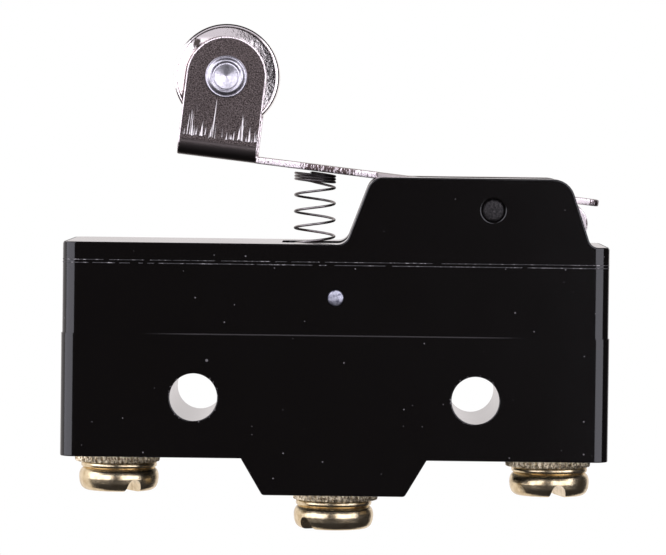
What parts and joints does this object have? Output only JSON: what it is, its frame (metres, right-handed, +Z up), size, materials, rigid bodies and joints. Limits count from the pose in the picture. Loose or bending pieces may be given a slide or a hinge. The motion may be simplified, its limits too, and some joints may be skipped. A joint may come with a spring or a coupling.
{
  "type": "lever micro switch",
  "caption": "Snap-action switch in a black moulded case with a sprung hinge roller lever, a through-bolted body and screw terminals below.",
  "frame": {"origin": "midway between the two mounting holes, on the middle plane of the case", "axes": "+X along the case towards the lever's pivot, +Y through the case from front to back, +Z up towards the lever"},
  "size_m": [0.0494, 0.0174, 0.0461],
  "materials": {
    "case_moulding": "gloss black phenolic moulding",
    "pin_steel": "bright ground steel",
    "pivot_steel": "dark oiled steel",
    "lever_nickel": "nickel-plated rolled steel sheet",
    "roller_steel": "bright turned steel",
    "rivet_aluminium": "pressed aluminium",
    "spring_wire": "dark drawn spring wire",
    "plunger_resin": "red-brown moulded resin",
    "blade_copper": "rolled copper alloy",
    "contact_silver": "silver",
    "terminal_brass": "pressed brass",
    "screw_brass": "yellow passivated brass"
  },
  "bodies": {
    "housing": {"base": "case_moulding", "cover": "case_moulding", "cover_pin": "pin_steel", "pivot_pin": "pivot_steel", "lever_spring": "spring_wire", "snap_blade": "blade_copper", "blade_rivet": "terminal_brass", "common_terminal": "terminal_brass", "open_terminal": "terminal_brass", "closed_terminal": "terminal_brass", "open_contact": "contact_silver", "closed_contact": "contact_silver", "common_screw": "screw_brass", "open_screw": "screw_brass", "closed_screw": "screw_brass", "common_washer": "screw_brass", "open_washer": "screw_brass", "closed_washer": "screw_brass"},
    "lever": {"lever": "lever_nickel", "roller_axle": "rivet_aluminium"},
    "roller": {"roller": "roller_steel"},
    "plunger": {"plunger": "plunger_resin"},
    "moving_contact": {"moving_contact": "contact_silver"}
  },
  "joints": [
    {"name": "lever_pivot", "type": "hinge", "parent": "housing", "child": "lever", "pos_m": [0.0141, 0, 0.01714], "axis": [0, -1, 0], "range_deg": [0, 14], "stiffness_Nm_per_rad": 0.15, "springref_deg": -5.16, "deforming": ["lever_spring"]},
    {"name": "roller_spin", "type": "hinge", "parent": "lever", "child": "roller", "pos_m": [-0.01022, 0, 0.02894], "axis": [0, -1, 0], "continuous": true},
    {"name": "plunger_slide", "type": "slide", "parent": "housing", "child": "plunger", "axis": [0, 0, -1], "range_m": [0, 0.0005]},
    {"name": "contact_slide", "type": "slide", "parent": "housing", "child": "moving_contact", "axis": [0, 0, -1], "range_m": [0, 0.0005], "deforming": ["snap_blade"]}
  ],
  "couplings": [
    {"joint": "plunger_slide", "follows": "lever_pivot", "m_per_rad": 0.00204},
    {"joint": "contact_slide", "follows": "lever_pivot", "m_per_rad": 0.00204}
  ]
}
